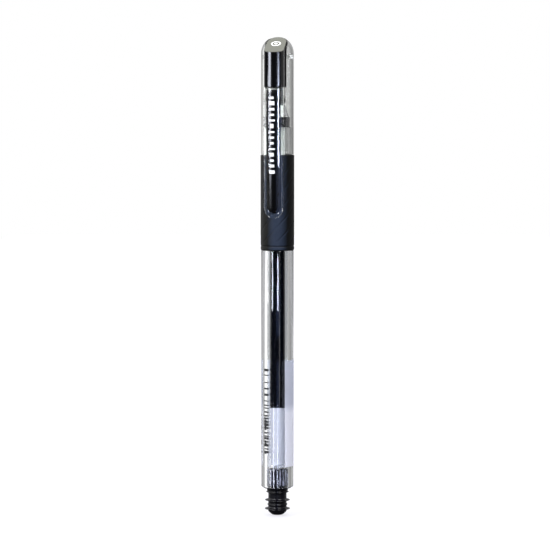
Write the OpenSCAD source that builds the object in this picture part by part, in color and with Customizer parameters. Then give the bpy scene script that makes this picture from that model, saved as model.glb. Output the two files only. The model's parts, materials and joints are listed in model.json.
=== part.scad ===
// Capped gel ink pen. Millimetres. The pen's axis is Z, with the cap up.
// The origin is on the axis, in the end face of the clear barrel where the tail plug goes in.
// The clip faces -Y. The pen is symmetric about the YZ plane.

/* [Barrel] */
// Outside diameter of the clear barrel
barrel_d = 10; // [9.6:0.1:10.6]
// Length of the bare clear barrel, from its tail end to the grip
barrel_len = 73.5; // [60:0.5:90]
// Bore of the clear barrel
barrel_bore_d = 6.7; // [6.6:0.05:6.8]

/* [Grip] */
// Length of the rubber grip
grip_len = 29.4; // [26:0.1:36]
// Outside diameter of the rubber grip
grip_d = 10.35; // [10.35:0.05:10.6]
// Diameter of the barrel under the grip
grip_seat_d = 8.9; // [8.8:0.05:9]

/* [Front end] */
// Diameter of the barrel's neck inside the cap
neck_d = 8.66; // [8.6:0.02:8.7]
// Length of the neck
neck_len = 8.4; // [8:0.1:9]
// Outside diameter of the black ring ahead of the neck
ring_d = 7.7; // [7.5:0.1:7.8]
// Width of the black ring
ring_w = 3.1; // [2.6:0.1:3.4]
// Length of the clear cone ahead of the ring
cone_len = 7; // [6.8:0.1:7.2]
// Outside diameter of the steel needle
needle_d = 0.9; // [0.8:0.05:1]
// Diameter of the writing ball
ball_d = 0.5; // [0.48:0.01:0.52]

/* [Refill] */
// Outside diameter of the refill tube
tube_d = 6.4; // [6.2:0.05:6.5]
// Bore of the refill tube, which holds the ink
tube_bore_d = 3.1; // [2.9:0.05:3.2]
// Length of the gel follower behind the ink
follower_len = 17.8; // [10:0.1:24]

/* [Cap] */
// Outside diameter of the cap
cap_d = 10; // [9.9:0.05:10.2]
// Length of the cap
cap_len = 36; // [36:0.1:37]
// Width of the clip
clip_w = 6.2; // [5.8:0.1:6.4]
// Thickness of the clip at its middle line
clip_t = 1.3; // [1.2:0.05:1.4]
// Width of the black strip set in the clip
strip_w = 4.4; // [4:0.1:4.6]
// Lean of the clip towards the barrel, in degrees
clip_lean = 1.2; // [1:0.05:1.3]

/* [Tail plug] */
// Length of the plug outside the barrel
tail_len = 9; // [8.5:0.1:10]
// Diameter of the plug's stem outside the barrel
tail_stem_d = 5.7; // [5.4:0.1:6]
// Number of flutes round the plug's inner part
flutes = 22; // [16:1:24]

/* [Hidden] */
$fn = 96;
eps = 0.01;                          // how far a cutter runs past the face it cuts
far = 40;                            // size of a cutter that only has to be large enough

barrel_r = barrel_d / 2;
barrel_bore_r = barrel_bore_d / 2;
grip_top_z = barrel_len + grip_len;
mouth_z = grip_top_z + 0.1;          // the cap's mouth, a little ahead of the grip
neck_end_z = mouth_z + neck_len;
cone_z = neck_end_z + ring_w;        // where the clear cone starts
cone_end_z = cone_z + cone_len;
cone_base_r = 3.5;
cone_tip_r = 1.42;
cone_slope = (cone_base_r - cone_tip_r) / cone_len;
collar_bore_r = 3;                   // bore of the black ring, and the cone's waist under it

tube_r = tube_d / 2;
tube_bore_r = tube_bore_d / 2;
tube_rear_z = 6.3;
tube_front_z = 100;
follower_rear_z = tube_rear_z + 0.7;
ink_rear_z = follower_rear_z + follower_len;
holder_plug_len = 6;
ink_front_z = tube_front_z - holder_plug_len;
holder_r = 2.25;                     // tip holder behind the cone
holder_nose_r = 1.55;                // and inside it
holder_nose_len = 3.4;
slip = 0.03;                         // radial clearance of a running fit
check_ball_r = 1;
check_ball_z = tube_front_z + 5.2;

needle_r = needle_d / 2;
needle_z = cone_end_z + 2.2;         // where the steel cone becomes the needle
ball_r = ball_d / 2;
ball_z = cone_end_z + 7.25;
lip_z = ball_z + 0.06;
shell_r = 1.15;                      // steel tip inside the holder and the cone
shell_rear_z = cone_z - 2;

cap_r = cap_d / 2;
cap_wall_bore_r = 4.05;
cap_mouth_bore_r = 4.4;
cap_top_z = mouth_z + cap_len;
dome_z = cap_top_z - cap_r;

head_w = 6.1;
head_front_y = -7.6;
head_rear_y = 1.5;
head_corner_r = 1.5;
head_crown_r = 8;
head_bottom_z = 123.5;
head_block_z = 133.4;                // underside of the head behind the clip's root
head_block_y = -2.75;
facet_angle = 27.7;
facet_z = cap_top_z - 0.1;

hinge_y = -6.85;
hinge_z = head_bottom_z;
knuckle_r = 0.5;
knuckle_w = 5;
clip_len = 39.9;
clip_front = hinge_y - head_front_y;
shoulder_gap = 0.12;
strip_depth = 0.55;
strip_top = 0.8;
strip_end_gap = 1.5;                 // clear margin at the clip's free end
bump_r = 1.5;
bump_w = 3.2;
bump_rise = 0.27;
bump_up = 3.6;                       // height of the bump above the clip's end

inner_r = 2.5;
inner_bore_r = 1.75;
inner_mouth_z = cone_z + 4.4;
seal_z = ball_z + ball_r + 0.12;
seal_len = 1.9;
flange_z = 132.2;

label_z = 6.6;
label_len = 32.8;
label_t = 0.05;
label_from = -53;                    // degrees about Z, from +X
label_span = 218;

module ring(r_out, r_in, z, h) {
    translate([0, 0, z]) difference() {
        cylinder(r = r_out, h = h);
        translate([0, 0, -eps]) cylinder(r = r_in, h = h + 2 * eps);
    }
}

// Barrel: one clear moulding with a grip seat and a neck
module barrel() {
    seat_r = grip_seat_d / 2;
    neck_r = neck_d / 2;
    chamfer = 0.25;
    color([0.85, 0.87, 0.88, 0.4]) rotate_extrude() polygon([
        [barrel_bore_r, 0], [barrel_r, 0], [barrel_r, barrel_len], [seat_r, barrel_len],
        [seat_r, grip_top_z], [neck_r, grip_top_z], [neck_r, neck_end_z - chamfer],
        [neck_r - chamfer, neck_end_z], [barrel_bore_r, neck_end_z]
    ]);
}

// Grip: rubber sleeve with a lip at its lower edge and a rounded upper edge
module grip() {
    edge = 0.35;
    lip_len = 1;
    groove = 0.12;
    color([0.09, 0.1, 0.12]) rotate_extrude() difference() {
        union() {
            translate([grip_seat_d / 2, barrel_len])
                square([grip_d / 2 - grip_seat_d / 2, grip_len - edge]);
            translate([grip_seat_d / 2, grip_top_z - edge])
                square([grip_d / 2 - grip_seat_d / 2 - edge, edge]);
            translate([grip_d / 2 - edge, grip_top_z - edge]) circle(r = edge);
        }
        translate([grip_d / 2, barrel_len + lip_len + groove]) circle(r = groove);
    }
}

// Label: film round the back of the barrel
module label() {
    color([0.85, 0.85, 0.92]) rotate([0, 0, label_from])
        translate([0, 0, label_z]) rotate_extrude(angle = label_span)
            translate([barrel_r, 0]) square([label_t, label_len]);
}

// One thin ring of the tail plug, which tapers from the stem to its edge
module fin(z, r, t) {
    edge = 0.12;
    root_r = tail_stem_d / 2 - 0.1;
    translate([0, 0, z]) rotate_extrude() polygon([
        [0, -t / 2], [root_r, -t / 2], [r, -edge / 2], [r, edge / 2], [root_r, t / 2], [0, t / 2]
    ]);
}

// Tail plug: fluted stem in the bore, and a ringed stem with a domed end outside it
module tail_plug() {
    inner_len = 6;
    flute_r = 0.26;
    flute_start = 1;
    flange_r = barrel_r - 0.6;
    flange_len = 0.5;
    stem_r = tail_stem_d / 2;
    dome_h = 2.6;
    dome_r = (stem_r * stem_r + dome_h * dome_h) / (2 * dome_h);
    fins = [[-1.65, 3.5, 0.5], [-4.2, 3.85, 0.8], [-5.6, 3.1, 0.4], [-6.9, 3.9, 0.8]]; // z, r, t
    color([0.05, 0.05, 0.07]) union() {
        difference() {
            cylinder(r = barrel_bore_r, h = inner_len);
            for (i = [0 : flutes - 1]) rotate([0, 0, i * 360 / flutes])
                translate([barrel_bore_r, 0, flute_start])
                    cylinder(r = flute_r, h = inner_len, $fn = 24);
        }
        translate([0, 0, -flange_len]) cylinder(r = flange_r, h = flange_len);
        translate([0, 0, -tail_len + dome_h]) cylinder(r = stem_r, h = tail_len - dome_h);
        intersection() {
            translate([0, 0, -tail_len + dome_r]) sphere(r = dome_r);
            translate([0, 0, -tail_len]) cylinder(r = stem_r, h = dome_h);
        }
        for (f = fins) fin(f[0], f[1], f[2]);
    }
}

// Nose cone: clear, its stem screwed in the neck
module nose_cone() {
    stem_z = neck_end_z - 7.4;
    stem_r = barrel_bore_r - slip;
    play = 0.05;
    bore_r = holder_r + play;
    nose_bore_r = holder_nose_r + play;
    nose_bore_z = cone_z + holder_nose_len + 0.1;
    color([0.85, 0.87, 0.88, 0.4]) rotate_extrude() polygon([
        [bore_r, stem_z], [stem_r, stem_z], [stem_r, neck_end_z], [collar_bore_r, neck_end_z],
        [collar_bore_r, cone_z], [cone_base_r, cone_z], [cone_tip_r, cone_end_z],
        [shell_r, cone_end_z], [shell_r, nose_bore_z], [nose_bore_r, nose_bore_z],
        [nose_bore_r, cone_z], [bore_r, cone_z - (bore_r - nose_bore_r)]
    ]);
}

// Nose ring: black collar round the nose cone, ahead of the neck
module nose_ring() {
    color([0.06, 0.07, 0.07]) ring(ring_d / 2, collar_bore_r, neck_end_z, ring_w);
}

// Refill tube: thick-walled polypropylene
module refill_tube() {
    color([0.9, 0.92, 0.95, 0.5])
        ring(tube_r, tube_bore_r, tube_rear_z, tube_front_z - tube_rear_z);
}

// Ink: the column in the tube's bore
module ink() {
    color([0.02, 0.03, 0.08]) translate([0, 0, ink_rear_z])
        cylinder(r = tube_bore_r - slip, h = ink_front_z - ink_rear_z);
}

// Follower: clear grease that keeps the ink from running back
module follower() {
    color([0.88, 0.89, 0.95, 0.7]) translate([0, 0, follower_rear_z])
        cylinder(r = tube_bore_r - slip, h = follower_len);
}

// Tip holder: joins the tube to the steel tip, with a chamber for the check ball
module tip_holder() {
    flange_len = 1;
    channel_r = 0.9;
    chamber_r = 1.2;
    seat_len = 0.8;                  // slope the ball seals on
    chamber_rear_z = check_ball_z - 1.2;
    chamber_front_z = check_ball_z + 1.3;
    taper_z = cone_z - 0.8;
    nose_z = cone_z - 0.05;
    nose_end_z = cone_z + holder_nose_len;
    color([0.93, 0.94, 0.95]) rotate_extrude() polygon([
        [channel_r, ink_front_z], [tube_bore_r, ink_front_z], [tube_bore_r, tube_front_z],
        [tube_r, tube_front_z], [tube_r, tube_front_z + flange_len],
        [holder_r, tube_front_z + flange_len], [holder_r, taper_z], [holder_nose_r, nose_z],
        [holder_nose_r, nose_end_z], [shell_r, nose_end_z], [shell_r, shell_rear_z],
        [channel_r, shell_rear_z], [channel_r, chamber_front_z + 0.5],
        [chamber_r, chamber_front_z], [chamber_r, chamber_rear_z],
        [channel_r, chamber_rear_z - seat_len]
    ]);
}

// Check ball: steel ball that stops ink from running back
module check_ball() {
    color([0.75, 0.76, 0.78]) translate([0, 0, check_ball_z]) sphere(r = check_ball_r);
}

// Tip shell: turned stainless steel cone and needle, crimped over the ball
module tip_shell() {
    bore_r = 0.8;
    channel_r = 0.2;
    channel_z = cone_end_z + 1.5;
    floor_z = ball_z - 0.6;          // under the ball's socket
    feed_r = 0.12;                   // hole through that floor
    socket_play = 0.01;
    crimp_r = needle_r - 0.18;
    crimp_z = ball_z - 0.5;
    shoulder = 0.05;
    shoulder_z = cone_end_z + 0.3;
    color([0.75, 0.76, 0.78]) difference() {
        rotate_extrude() polygon([
            [channel_r, channel_z], [channel_r, floor_z], [0, floor_z], [0, lip_z],
            [crimp_r, lip_z], [needle_r, crimp_z], [needle_r, needle_z],
            [shell_r - shoulder, shoulder_z], [shell_r, cone_end_z], [shell_r, shell_rear_z],
            [bore_r, shell_rear_z], [bore_r, cone_end_z]
        ]);
        translate([0, 0, ball_z]) sphere(r = ball_r + socket_play);
        translate([0, 0, floor_z - 1]) cylinder(r = feed_r, h = ball_z - floor_z + 1);
    }
}

// Writing ball: tungsten carbide, in its socket in the steel tip
module writing_ball() {
    color([0.45, 0.46, 0.48]) translate([0, 0, ball_z]) sphere(r = ball_r);
}

// Plan of the cap's black head: an oval with a crowned front
module head_plan() {
    intersection() {
        translate([0, head_front_y + head_crown_r]) circle(r = head_crown_r);
        union() {
            for (s = [-1, 1])
                translate([s * (head_w / 2 - head_corner_r), head_front_y + head_corner_r])
                    circle(r = head_corner_r);
            translate([-head_w / 2 + head_corner_r, head_front_y])
                square([head_w - 2 * head_corner_r, head_corner_r + eps]);
            translate([-head_w / 2, head_front_y + head_corner_r])
                square([head_w, head_rear_y - head_w / 2 - head_front_y - head_corner_r]);
            translate([0, head_rear_y - head_w / 2]) circle(r = head_w / 2);
        }
    }
}

// Space the head takes up in the cap, open at the top
module head_space() {
    translate([0, 0, head_block_z]) linear_extrude(height = far - head_block_z + cap_top_z)
        head_plan();
    intersection() {
        translate([0, 0, head_bottom_z]) linear_extrude(height = head_block_z - head_bottom_z + 1)
            head_plan();
        translate([-far / 2, head_block_y - far, head_bottom_z]) cube(far);
    }
}

// Cap head: black, with a sloped oval top and a groove for the clip's knuckle
module cap_head() {
    groove_r = knuckle_r + 0.06;
    groove_w = knuckle_w + 0.2;
    color([0.03, 0.03, 0.03]) difference() {
        head_space();
        translate([0, head_rear_y, facet_z]) rotate([facet_angle, 0, 0])
            translate([-far, -far, 0]) cube(2 * far);
        translate([-groove_w / 2, hinge_y, hinge_z]) rotate([0, 90, 0])
            cylinder(r = groove_r, h = groove_w);
    }
}

// Half outline of a round-topped rod, for a revolve
module domed_outline(r, z) {
    translate([0, z]) square([r, dome_z - z]);
    intersection() {
        translate([0, dome_z]) circle(r = r);
        translate([0, dome_z - eps]) square(far);
    }
}

// Cap shell: clear tube with a domed top, cut out for the head
module cap_shell() {
    below = 1;
    mouth_bore_len = neck_len + 0.1;
    color([0.85, 0.87, 0.88, 0.35]) difference() {
        rotate_extrude() difference() {
            domed_outline(cap_r, mouth_z);
            domed_outline(cap_wall_bore_r, mouth_z - below);
            translate([0, mouth_z - below]) square([cap_mouth_bore_r, below + mouth_bore_len]);
        }
        head_space();
    }
}

// Inner cap: clear tube that shuts over the nose cone and keeps the tip wet
module inner_cap() {
    lip = 0.1;
    top_z = seal_z + seal_len;
    mouth_bore_r = cone_base_r - cone_slope * (inner_mouth_z - cone_z) + lip;
    color([0.85, 0.87, 0.88, 0.5]) rotate_extrude() polygon([
        [mouth_bore_r, inner_mouth_z], [inner_r, inner_mouth_z], [inner_r, head_block_z],
        [0, head_block_z], [0, top_z], [inner_bore_r, top_z],
        [inner_bore_r, inner_mouth_z + (mouth_bore_r - inner_bore_r) / cone_slope]
    ]);
}

// Cap plug ring: clear disc that centres the inner cap in the cap
module cap_plug_ring() {
    color([0.85, 0.87, 0.88, 0.5]) difference() {
        ring(cap_wall_bore_r, inner_r, flange_z, head_block_z - flange_z);
        translate([-head_w / 2, head_block_y - far, flange_z - 1]) cube([head_w, far, far]);
    }
}

// Cap seal: elastomer pad that stops the ball from drying
module cap_seal() {
    color([0.8, 0.8, 0.8]) translate([0, 0, seal_z]) cylinder(r = inner_bore_r, h = seal_len);
}

// Tongue with a round lower end, whose back face is at y = back and which runs far to the front
module tongue(w, end_z, top_z, back) {
    arc_z = end_z + w / 2;
    translate([0, back, 0]) rotate([90, 0, 0]) linear_extrude(height = far) {
        translate([-w / 2, arc_z]) square([w, top_z - arc_z]);
        translate([0, arc_z]) circle(r = w / 2);
    }
}

// The arm's whole solid, in the clip's own frame with the hinge at the origin
module clip_solid() {
    intersection() {
        translate([0, head_crown_r - clip_front, -clip_len])
            cylinder(r = head_crown_r, h = clip_len);
        tongue(clip_w, -clip_len, -shoulder_gap, clip_t - clip_front);
    }
}

// Space for the black strip in the front of the clip, open to the front
module strip_slot() {
    tongue(strip_w, -clip_len + strip_end_gap, -strip_top, strip_depth - clip_front);
}

module in_clip_frame() {
    translate([0, hinge_y, hinge_z]) rotate([clip_lean, 0, 0]) children();
}

// Clip arm: clear, with a knuckle at the root and a bump that bears on the barrel
module clip_arm() {
    back_y = clip_t - clip_front;
    bump_root = 0.2;
    color([0.85, 0.87, 0.88, 0.35]) in_clip_frame() {
        difference() {
            clip_solid();
            strip_slot();
        }
        translate([-knuckle_w / 2, 0, 0]) rotate([0, 90, 0])
            cylinder(r = knuckle_r, h = knuckle_w);
        translate([-knuckle_w / 2, -knuckle_r, -knuckle_r])
            cube([knuckle_w, 2 * knuckle_r, knuckle_r]);
        intersection() {
            translate([-bump_w / 2, back_y + bump_rise - bump_r, bump_up - clip_len])
                rotate([0, 90, 0]) cylinder(r = bump_r, h = bump_w);
            translate([-bump_w / 2, back_y - bump_root, -clip_len])
                cube([bump_w, bump_r, clip_len]);
        }
    }
}

// Clip strip: black insert in the clip's front
module clip_strip() {
    color([0.05, 0.06, 0.09]) in_clip_frame() intersection() {
        clip_solid();
        strip_slot();
    }
}

barrel();
grip();
label();
tail_plug();
nose_cone();
nose_ring();
refill_tube();
ink();
follower();
tip_holder();
check_ball();
tip_shell();
writing_ball();
cap_shell();
cap_head();
inner_cap();
cap_seal();
cap_plug_ring();
clip_arm();
clip_strip();
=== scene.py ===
"""A capped gel pen in a plain studio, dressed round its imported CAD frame."""
import json
import math

import bmesh
import bpy
from mathutils import Matrix, Vector


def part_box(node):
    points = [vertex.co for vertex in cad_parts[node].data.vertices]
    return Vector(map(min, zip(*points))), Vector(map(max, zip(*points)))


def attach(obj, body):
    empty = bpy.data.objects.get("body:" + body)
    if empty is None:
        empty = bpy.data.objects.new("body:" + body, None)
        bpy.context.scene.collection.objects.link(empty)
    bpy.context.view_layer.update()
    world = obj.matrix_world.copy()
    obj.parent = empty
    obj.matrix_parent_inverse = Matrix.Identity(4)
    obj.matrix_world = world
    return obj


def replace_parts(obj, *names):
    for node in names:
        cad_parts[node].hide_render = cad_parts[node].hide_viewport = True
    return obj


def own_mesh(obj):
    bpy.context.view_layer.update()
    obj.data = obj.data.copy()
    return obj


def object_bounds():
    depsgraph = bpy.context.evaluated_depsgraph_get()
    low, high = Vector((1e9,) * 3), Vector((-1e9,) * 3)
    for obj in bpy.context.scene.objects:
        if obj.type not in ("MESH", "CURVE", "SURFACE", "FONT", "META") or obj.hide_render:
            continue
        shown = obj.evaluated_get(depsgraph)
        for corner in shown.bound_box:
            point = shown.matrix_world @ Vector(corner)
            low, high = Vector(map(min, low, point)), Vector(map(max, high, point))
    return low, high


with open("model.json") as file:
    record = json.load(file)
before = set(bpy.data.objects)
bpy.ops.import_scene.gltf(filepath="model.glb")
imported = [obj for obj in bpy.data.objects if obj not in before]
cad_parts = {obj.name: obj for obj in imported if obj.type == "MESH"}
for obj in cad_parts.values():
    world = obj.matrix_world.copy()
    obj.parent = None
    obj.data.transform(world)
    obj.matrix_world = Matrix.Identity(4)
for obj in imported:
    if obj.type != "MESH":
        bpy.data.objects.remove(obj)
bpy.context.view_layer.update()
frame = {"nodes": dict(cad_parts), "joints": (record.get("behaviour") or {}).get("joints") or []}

# ---------------------------------------------------------------------------
# Barrel: one injection moulding in clear polystyrene, polished in the mould.
# Its step carries the grip, its thin neck goes into the cap, and its bore is
# open from end to end. Everything here is in millimetres until it is a mesh.
# ---------------------------------------------------------------------------
MM = 0.001
SEGMENTS = 128


def linear(hex_colour):
    """The linear colour of an sRGB hex value such as "1a2b3c"."""
    parts = [int(hex_colour[i:i + 2], 16) / 255 for i in (0, 2, 4)]
    return [p / 12.92 if p <= 0.04045 else ((p + 0.055) / 1.055) ** 2.4 for p in parts] + [1]


def add(tree, kind, inputs=(), **settings):
    """Adds a node, with values or links for its inputs by name or number."""
    node = tree.nodes.new(kind)
    for key, value in settings.items():
        setattr(node, key, value)
    for key, value in dict(inputs).items():
        if isinstance(value, bpy.types.NodeSocket):
            tree.links.new(value, node.inputs[key])
        else:
            node.inputs[key].default_value = value
    return node


def new_material(name):
    """An empty material's node tree, with its output node."""
    material = bpy.data.materials.new(name)
    material.use_nodes = True
    material.node_tree.nodes.clear()
    return material, material.node_tree, add(material.node_tree, "ShaderNodeOutputMaterial")


def rounded(outline):
    """The outline of (r, z, radius) corners, each rounded to its radius, as (r, z) points."""
    steps = 5
    points = []
    for i, (x, z, radius) in enumerate(outline):
        here = Vector((x, z))
        if radius <= 0:
            points.append(here)
            continue
        back = (Vector(outline[i - 1][:2]) - here).normalized()
        ahead = (Vector(outline[(i + 1) % len(outline)][:2]) - here).normalized()
        half = back.angle(ahead) / 2
        start = here + back * (radius / math.tan(half))
        centre = here + (back + ahead).normalized() * (radius / math.sin(half))
        turn = (start - centre).angle_signed(here + ahead * (radius / math.tan(half)) - centre)
        for k in range(steps + 1):
            angle = -turn * k / steps
            points.append(centre + Matrix.Rotation(angle, 2) @ (start - centre))
    return points


def corners(node):
    """A CAD node's lowest and highest corners at rest, in millimetres."""
    return [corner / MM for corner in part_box(node)]


def piece(name, bm, material, body, sharp=40):
    """Makes a piece of the object from a closed bmesh in millimetres."""
    bmesh.ops.remove_doubles(bm, verts=bm.verts, dist=1e-5)
    bmesh.ops.recalc_face_normals(bm, faces=bm.faces)
    mesh = bpy.data.meshes.new(name)
    bm.to_mesh(mesh)
    bm.free()
    mesh.transform(Matrix.Scale(MM, 4))
    mesh.shade_smooth()
    mesh.set_sharp_from_angle(angle=math.radians(sharp))
    made = bpy.data.objects.new(name, mesh)
    bpy.context.scene.collection.objects.link(made)
    mesh.materials.append(material)
    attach(made, body)
    return made


def turned(outline):
    """A closed solid turned about Z from a closed outline of rounded corners."""
    points = rounded(outline)
    bm = bmesh.new()
    rings = []
    for point in points:
        if point.x < 1e-6:
            rings.append([bm.verts.new((0, 0, point.y))] * SEGMENTS)
            continue
        rings.append([
            bm.verts.new((
                point.x * math.cos(2 * math.pi * k / SEGMENTS),
                point.x * math.sin(2 * math.pi * k / SEGMENTS),
                point.y,
            ))
            for k in range(SEGMENTS)
        ])
    for one, two in zip(rings, rings[1:] + rings[:1]):
        for k in range(SEGMENTS):
            n = (k + 1) % SEGMENTS
            corners = []
            for vert in (one[k], one[n], two[n], two[k]):
                if vert not in corners:
                    corners.append(vert)
            if len(corners) > 2:
                bm.faces.new(corners)
    return bm


def clear_moulding(name, tint, ior, haze):
    """Polished clear plastic: water-clear, with the faint waves that the melt leaves as it fills
    the mould. Light for shadows goes straight through it, so that the pieces inside are lit."""
    material, tree, out = new_material(name)
    place = add(tree, "ShaderNodeTexCoord")
    stretch = add(tree, "ShaderNodeMapping", {0: place.outputs["Object"], "Scale": (1, 1, 0.15)})
    waves = add(tree, "ShaderNodeTexNoise",
                {0: stretch.outputs[0], "Scale": 1 / (3 * MM), "Detail": 2.0})
    bump = add(tree, "ShaderNodeBump",
               {"Height": waves.outputs[0], "Strength": 0.12, "Distance": 0.05 * MM})
    scuffs = add(tree, "ShaderNodeTexNoise",
                 {0: place.outputs["Object"], "Scale": 1 / (0.8 * MM), "Detail": 3.0})
    rough = add(tree, "ShaderNodeMapRange",
                {0: scuffs.outputs[0], 1: 0.35, 2: 0.8, 3: haze, 4: haze + 0.05})
    glass = add(tree, "ShaderNodeBsdfPrincipled", {
        "Base Color": linear(tint), "Transmission Weight": 1.0, "IOR": ior,
        "Roughness": rough.outputs[0], "Normal": bump.outputs[0],
    })
    through = add(tree, "ShaderNodeBsdfTransparent", {0: linear(tint)})
    path = add(tree, "ShaderNodeLightPath")
    both = add(tree, "ShaderNodeMixShader",
               {0: path.outputs["Is Shadow Ray"], 1: glass.outputs[0], 2: through.outputs[0]})
    tree.links.new(both.outputs[0], out.inputs["Surface"])
    return material


barrel_low, barrel_high = corners("barrel")
grip_low, grip_high = corners("grip")
BARREL_R = barrel_high.x
BORE_R = 3.35
SEAT_R = 4.45
NECK_R = 4.33
polystyrene = clear_moulding("clear_polystyrene", "fafbfb", 1.54, 0.012)
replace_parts(piece("clear_barrel", turned([
    (BORE_R, barrel_low.z, 0.15), (BARREL_R, barrel_low.z, 0.3), (BARREL_R, grip_low.z, 0.12),
    (SEAT_R, grip_low.z, 0), (SEAT_R, grip_high.z, 0.04), (NECK_R, grip_high.z, 0),
    (NECK_R, barrel_high.z, 0.3), (BORE_R, barrel_high.z, 0.12),
]), polystyrene, "barrel"), "barrel")

# ---------------------------------------------------------------------------
# Label: a white polypropylene film stuck round the back of the barrel. It lets
# some light through, so it takes on the colour of what is behind it.
# ---------------------------------------------------------------------------
label_low, label_high = corners("label")
LABEL_FROM = math.radians(-53)
LABEL_SPAN = math.radians(218)
LABEL_T = 0.04
LABEL_AIR = 0.01
INK_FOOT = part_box("ink")[0].z


def wrapped(bm, around):
    """Bends a flat bmesh round the barrel: X becomes the arc and Y the height off the wall."""
    for vert in bm.verts:
        turn = vert.co.x / around
        vert.co = Vector(((around + vert.co.y) * math.cos(turn),
                          (around + vert.co.y) * math.sin(turn), vert.co.z))


def label_film():
    """White film: satin and faintly cloudy. It is painted a shade darker beside the ink than beside
    the grease, as painted shade for the light that the black column takes away."""
    material, tree, out = new_material("label_film")
    place = add(tree, "ShaderNodeTexCoord")
    grain = add(tree, "ShaderNodeTexNoise",
                {0: place.outputs["Object"], "Scale": 1 / (0.5 * MM), "Detail": 4.0})
    shade = add(tree, "ShaderNodeMapRange", {0: grain.outputs[0], 1: 0.3, 2: 0.7, 3: 0.94, 4: 1.0})
    parts = add(tree, "ShaderNodeSeparateXYZ", {0: place.outputs["Object"]})
    # Painted shade: the film's colour goes darker above the ink's foot, where the black ink stands
    # behind it.
    painted_shade_by_ink = add(tree, "ShaderNodeMapRange",
                 {0: parts.outputs[2], 1: INK_FOOT - 1.3 * MM, 2: INK_FOOT + 1.2 * MM})
    film_with_painted_shade = add(tree, "ShaderNodeMix",
                {0: painted_shade_by_ink.outputs[0], 6: linear("fbfbff"), 7: linear("d8dbe4")}, data_type="RGBA")
    tint = add(tree, "ShaderNodeMix",
               {0: shade.outputs[0], 6: linear("9a9aa8"), 7: film_with_painted_shade.outputs[2]}, data_type="RGBA")
    bump = add(tree, "ShaderNodeBump",
               {"Height": grain.outputs[0], "Strength": 0.2, "Distance": 0.01 * MM})
    face = add(tree, "ShaderNodeBsdfPrincipled", {
        "Base Color": tint.outputs[2], "Roughness": 0.38, "Normal": bump.outputs[0],
    })
    back = add(tree, "ShaderNodeBsdfTranslucent", {0: tint.outputs[2]})
    solid = add(tree, "ShaderNodeMixShader", {0: 0.45, 1: face.outputs[0], 2: back.outputs[0]})
    through = add(tree, "ShaderNodeBsdfTransparent", {0: linear("e6e7f4")})
    both = add(tree, "ShaderNodeMixShader", {0: 0.3, 1: solid.outputs[0], 2: through.outputs[0]})
    tree.links.new(both.outputs[0], out.inputs["Surface"])
    return material


film = bmesh.new()
bmesh.ops.create_cube(film, size=1)
bmesh.ops.scale(film, verts=film.verts, vec=(
    LABEL_SPAN * BARREL_R, LABEL_T, label_high.z - label_low.z))
bmesh.ops.subdivide_edges(
    film, edges=[e for e in film.edges if abs(e.verts[0].co.x - e.verts[1].co.x) > 1], cuts=95)
bmesh.ops.translate(film, verts=film.verts, vec=(
    (LABEL_FROM + LABEL_SPAN / 2) * BARREL_R, LABEL_AIR + LABEL_T / 2,
    (label_low.z + label_high.z) / 2))
wrapped(film, BARREL_R)
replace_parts(piece("label_film", film, label_film(), "barrel"), "label")

# ---------------------------------------------------------------------------
# Print on the barrel: plain black bars of random thickness, pad printed on
# the clear wall beside the label. They carry no code and no lettering.
# ---------------------------------------------------------------------------


def grown(name, tree, inputs):
    """A plain mesh from a Geometry Nodes tree with these inputs."""
    holder = bpy.data.objects.new(name, bpy.data.meshes.new(name))
    bpy.context.scene.collection.objects.link(holder)
    modifier = holder.modifiers.new("nodes", "NODES")
    modifier.node_group = tree
    for item in tree.interface.items_tree:
        if item.in_out == "INPUT" and item.name in inputs:
            modifier[item.identifier] = inputs[item.name]
    holder.update_tag()
    seen = holder.evaluated_get(bpy.context.evaluated_depsgraph_get())
    mesh = bpy.data.meshes.new_from_object(seen)
    bpy.data.objects.remove(holder)
    bm = bmesh.new()
    bm.from_mesh(mesh)
    bpy.data.meshes.remove(mesh)
    return bm


def geometry_tree(name, inputs):
    """A Geometry Nodes tree with named inputs of (name, type, default)."""
    tree = bpy.data.node_groups.new(name, "GeometryNodeTree")
    for label, kind, value in inputs:
        tree.interface.new_socket(name=label, in_out="INPUT", socket_type=kind).default_value = value
    tree.interface.new_socket(name="Geometry", in_out="OUTPUT", socket_type="NodeSocketGeometry")
    return tree, add(tree, "NodeGroupInput"), add(tree, "NodeGroupOutput")


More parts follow.
